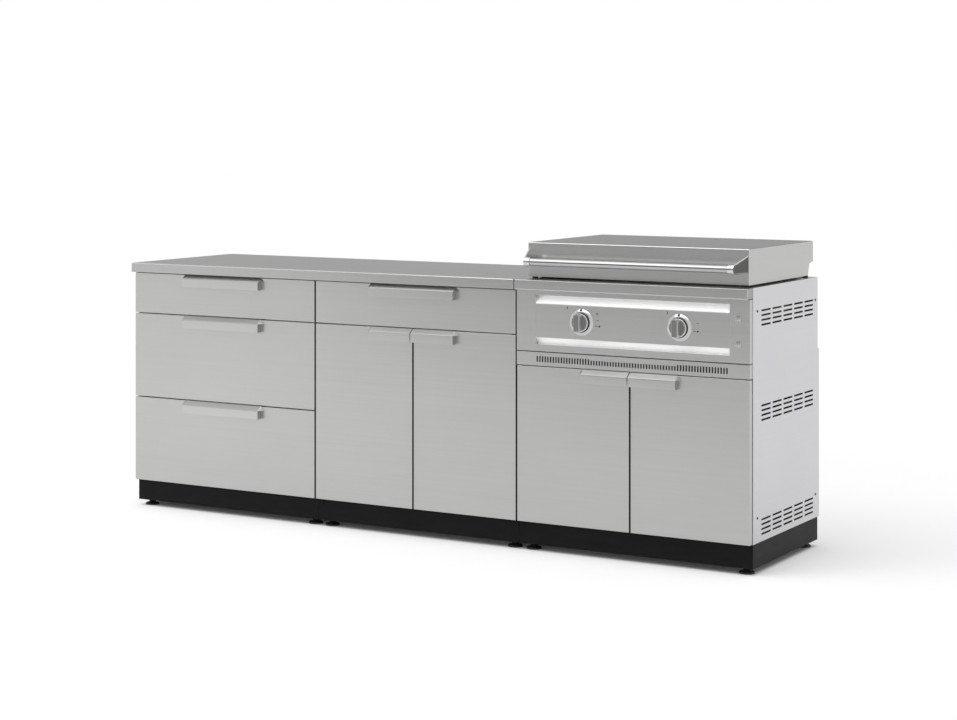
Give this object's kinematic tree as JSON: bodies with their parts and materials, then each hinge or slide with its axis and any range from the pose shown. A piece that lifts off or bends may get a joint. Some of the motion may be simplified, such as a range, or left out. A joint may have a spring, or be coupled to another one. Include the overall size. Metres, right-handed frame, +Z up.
{
  "type": "outdoor kitchen island",
  "caption": "Outdoor kitchen island with a stainless worktop over drawers and door cabinets, and a lidded gas griddle with control knobs above a vented cabinet.",
  "frame": {"origin": "centre of the footprint of the bounding box, on the floor", "axes": "+X to the right along the length as seen from the front, +Y towards the back, +Z up"},
  "size_m": [2.4658, 0.6296, 1.025],
  "materials": {
    "brushed_stainless": "fine grain, satin",
    "worktop_stainless": "fine grain along the length, satin",
    "panel_stainless": "mottled brushed, with polished slopes",
    "polished_stainless": "fine polished",
    "carcass_steel": "smooth light grey",
    "zinc_steel": "zinc plated",
    "black_steel": "satin black",
    "black_plastic": "matt",
    "core_board": "raw board",
    "plate_iron": "seasoned",
    "enamelled_box": "heat resistant",
    "burner_steel": "satin",
    "gas_brass": "satin",
    "pad_rubber": "matt"
  },
  "bodies": {
    "island": {"side_panels": "carcass_steel", "vented_side_panels": "carcass_steel", "joining_bolts": "zinc_steel", "frame_members": "carcass_steel", "floor_panels": "carcass_steel", "back_panels": "carcass_steel", "storage_shelf": "carcass_steel", "plinths": "black_steel", "foot_pads": "black_plastic", "foot_stems": "zinc_steel", "countertop": "worktop_stainless", "countertop_core": "core_board", "slide_outer_rails": "zinc_steel", "door_pivot_leaves": "zinc_steel", "griddle_deck": "worktop_stainless", "firebox": "enamelled_box", "griddle_plate": "plate_iron", "griddle_burners": "burner_steel", "gas_manifold": "burner_steel", "gas_valves": "gas_brass", "control_panel": "panel_stainless", "vent_strip": "panel_stainless", "knob_bezels": "polished_stainless", "igniter_housings": "black_plastic", "lid_hinge_brackets": "brushed_stainless", "lid_rest_pads": "pad_rubber"},
    "bottom_drawer": {"bottom_drawer_front": "brushed_stainless", "bottom_drawer_box": "carcass_steel", "bottom_drawer_pull": "polished_stainless"},
    "bottom_drawer_slides": {"bottom_drawer_slide_middles": "zinc_steel"},
    "middle_drawer": {"middle_drawer_front": "brushed_stainless", "middle_drawer_box": "carcass_steel", "middle_drawer_pull": "polished_stainless"},
    "middle_drawer_slides": {"middle_drawer_slide_middles": "zinc_steel"},
    "top_drawer": {"top_drawer_front": "brushed_stainless", "top_drawer_box": "carcass_steel", "top_drawer_pull": "polished_stainless"},
    "top_drawer_slides": {"top_drawer_slide_middles": "zinc_steel"},
    "storage_drawer": {"storage_drawer_front": "brushed_stainless", "storage_drawer_box": "carcass_steel", "storage_drawer_pull": "polished_stainless"},
    "storage_drawer_slides": {"storage_drawer_slide_middles": "zinc_steel"},
    "storage_left_door": {"storage_left_door": "brushed_stainless", "storage_left_door_pull": "polished_stainless"},
    "storage_right_door": {"storage_right_door": "brushed_stainless", "storage_right_door_pull": "polished_stainless"},
    "griddle_left_door": {"griddle_left_door": "brushed_stainless", "griddle_left_door_pull": "polished_stainless"},
    "griddle_right_door": {"griddle_right_door": "brushed_stainless", "griddle_right_door_pull": "polished_stainless"},
    "lid": {"lid_shell": "worktop_stainless", "lid_handle_tube": "polished_stainless", "lid_handle_brackets": "polished_stainless"},
    "left_knob_push": {"left_knob_washer": "zinc_steel"},
    "left_knob_turn": {"left_knob": "polished_stainless"},
    "right_knob_push": {"right_knob_washer": "zinc_steel"},
    "right_knob_turn": {"right_knob": "polished_stainless"},
    "upper_button": {"upper_igniter_button": "polished_stainless"},
    "lower_button": {"lower_igniter_button": "polished_stainless"},
    "tray": {"grease_tray": "polished_stainless"}
  },
  "joints": [
    {"name": "bottom_drawer_slide", "type": "slide", "parent": "island", "child": "bottom_drawer", "axis": [0, -1, 0], "range_m": [0, 0.52]},
    {"name": "bottom_drawer_slides_follow", "type": "slide", "parent": "island", "child": "bottom_drawer_slides", "axis": [0, -1, 0], "range_m": [0, 0.26]},
    {"name": "middle_drawer_slide", "type": "slide", "parent": "island", "child": "middle_drawer", "axis": [0, -1, 0], "range_m": [0, 0.52]},
    {"name": "middle_drawer_slides_follow", "type": "slide", "parent": "island", "child": "middle_drawer_slides", "axis": [0, -1, 0], "range_m": [0, 0.26]},
    {"name": "top_drawer_slide", "type": "slide", "parent": "island", "child": "top_drawer", "axis": [0, -1, 0], "range_m": [0, 0.52]},
    {"name": "top_drawer_slides_follow", "type": "slide", "parent": "island", "child": "top_drawer_slides", "axis": [0, -1, 0], "range_m": [0, 0.26]},
    {"name": "storage_drawer_slide", "type": "slide", "parent": "island", "child": "storage_drawer", "axis": [0, -1, 0], "range_m": [0, 0.52]},
    {"name": "storage_drawer_slides_follow", "type": "slide", "parent": "island", "child": "storage_drawer_slides", "axis": [0, -1, 0], "range_m": [0, 0.26]},
    {"name": "storage_left_door_hinge", "type": "hinge", "parent": "island", "child": "storage_left_door", "pos_m": [-0.4106, -0.2733, 0.098], "axis": [0, 0, -1], "range_deg": [0, 86]},
    {"name": "storage_right_door_hinge", "type": "hinge", "parent": "island", "child": "storage_right_door", "pos_m": [0.3872, -0.2733, 0.098], "axis": [0, 0, 1], "range_deg": [0, 86]},
    {"name": "griddle_left_door_hinge", "type": "hinge", "parent": "island", "child": "griddle_left_door", "pos_m": [0.4022, -0.2733, 0.098], "axis": [0, 0, -1], "range_deg": [0, 86]},
    {"name": "griddle_right_door_hinge", "type": "hinge", "parent": "island", "child": "griddle_right_door", "pos_m": [1.2254, -0.2733, 0.098], "axis": [0, 0, 1], "range_deg": [0, 86]},
    {"name": "lid_hinge", "type": "hinge", "parent": "island", "child": "lid", "pos_m": [0.8138, 0.2817, 0.935], "axis": [-1, 0, 0], "range_deg": [0, 90]},
    {"name": "left_knob_press", "type": "slide", "parent": "island", "child": "left_knob_push", "axis": [0, 1, 0], "range_m": [0, 0.003], "stiffness_N_per_m": 800, "springref_m": -0.001},
    {"name": "left_knob_turning", "type": "hinge", "parent": "left_knob_push", "child": "left_knob_turn", "pos_m": [0.6383, -0.2783, 0.77], "axis": [0, -1, 0], "range_deg": [0, 260]},
    {"name": "right_knob_press", "type": "slide", "parent": "island", "child": "right_knob_push", "axis": [0, 1, 0], "range_m": [0, 0.003], "stiffness_N_per_m": 800, "springref_m": -0.001},
    {"name": "right_knob_turning", "type": "hinge", "parent": "right_knob_push", "child": "right_knob_turn", "pos_m": [0.9893, -0.2783, 0.77], "axis": [0, -1, 0], "range_deg": [0, 260]},
    {"name": "upper_button_press", "type": "slide", "parent": "island", "child": "upper_button", "axis": [0, 1, 0], "range_m": [0, 0.003], "stiffness_N_per_m": 600, "springref_m": -0.001},
    {"name": "lower_button_press", "type": "slide", "parent": "island", "child": "lower_button", "axis": [0, 1, 0], "range_m": [0, 0.003], "stiffness_N_per_m": 600, "springref_m": -0.001},
    {"name": "tray_slide", "type": "slide", "parent": "island", "child": "tray", "axis": [0, 1, 0], "range_m": [0, 0.1]}
  ],
  "couplings": [
    {"joint": "bottom_drawer_slides_follow", "follows": "bottom_drawer_slide", "ratio": 0.5},
    {"joint": "middle_drawer_slides_follow", "follows": "middle_drawer_slide", "ratio": 0.5},
    {"joint": "top_drawer_slides_follow", "follows": "top_drawer_slide", "ratio": 0.5},
    {"joint": "storage_drawer_slides_follow", "follows": "storage_drawer_slide", "ratio": 0.5}
  ]
}
